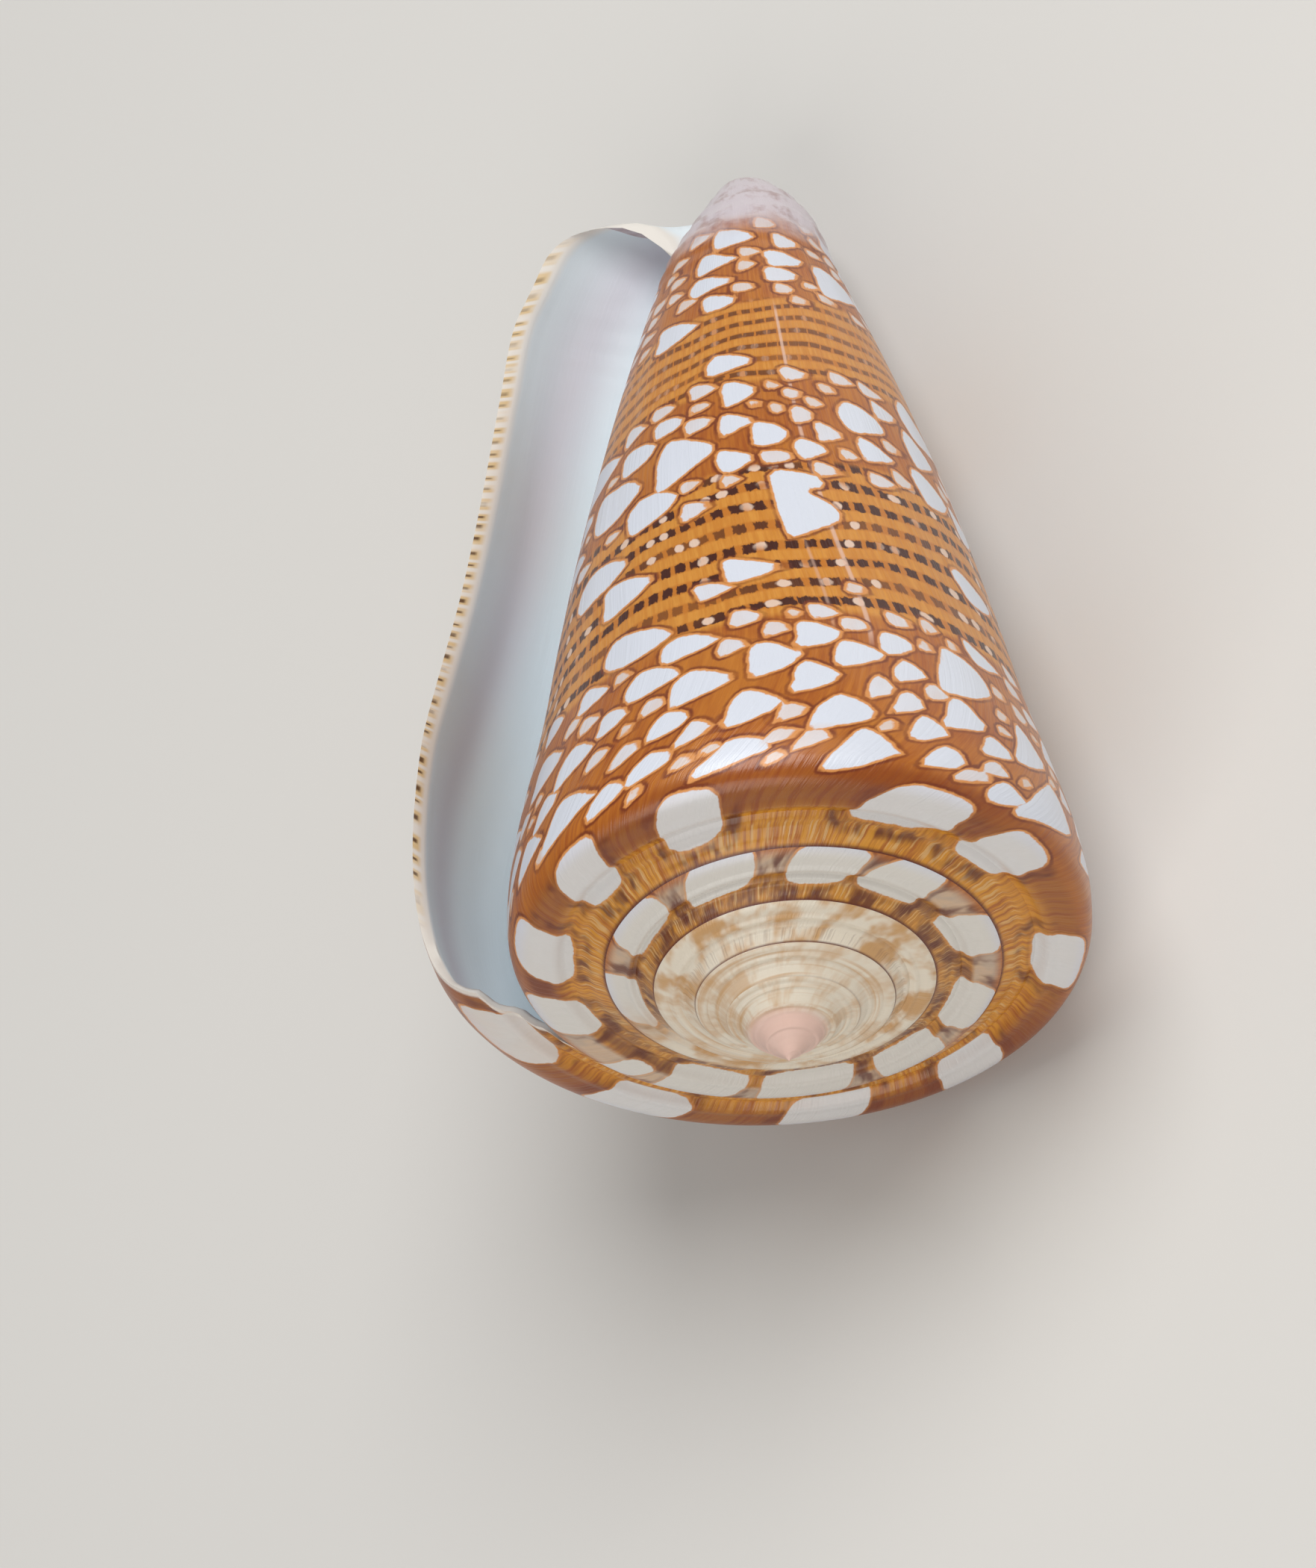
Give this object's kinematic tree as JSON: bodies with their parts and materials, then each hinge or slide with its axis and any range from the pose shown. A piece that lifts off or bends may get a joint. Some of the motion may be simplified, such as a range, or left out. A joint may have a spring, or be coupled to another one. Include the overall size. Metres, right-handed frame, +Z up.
{
  "type": "cone shell",
  "caption": "Cone-shaped sea snail shell with a low pointed spire and a long narrow mouth behind a flared lip, lying on its side.",
  "frame": {"origin": "centre of the bounding box, at the surface the shell lies on", "axes": "+Z up; the spire points towards -Y and the front tip towards +Y; the mouth opens up and towards -X"},
  "size_m": [0.0272, 0.0484, 0.0252],
  "materials": {
    "glazed_shell": "natural porcelain-like glaze, orange-brown with a white netted pattern"
  },
  "bodies": {
    "root": {"shell": "glazed_shell"}
  },
  "joints": []
}
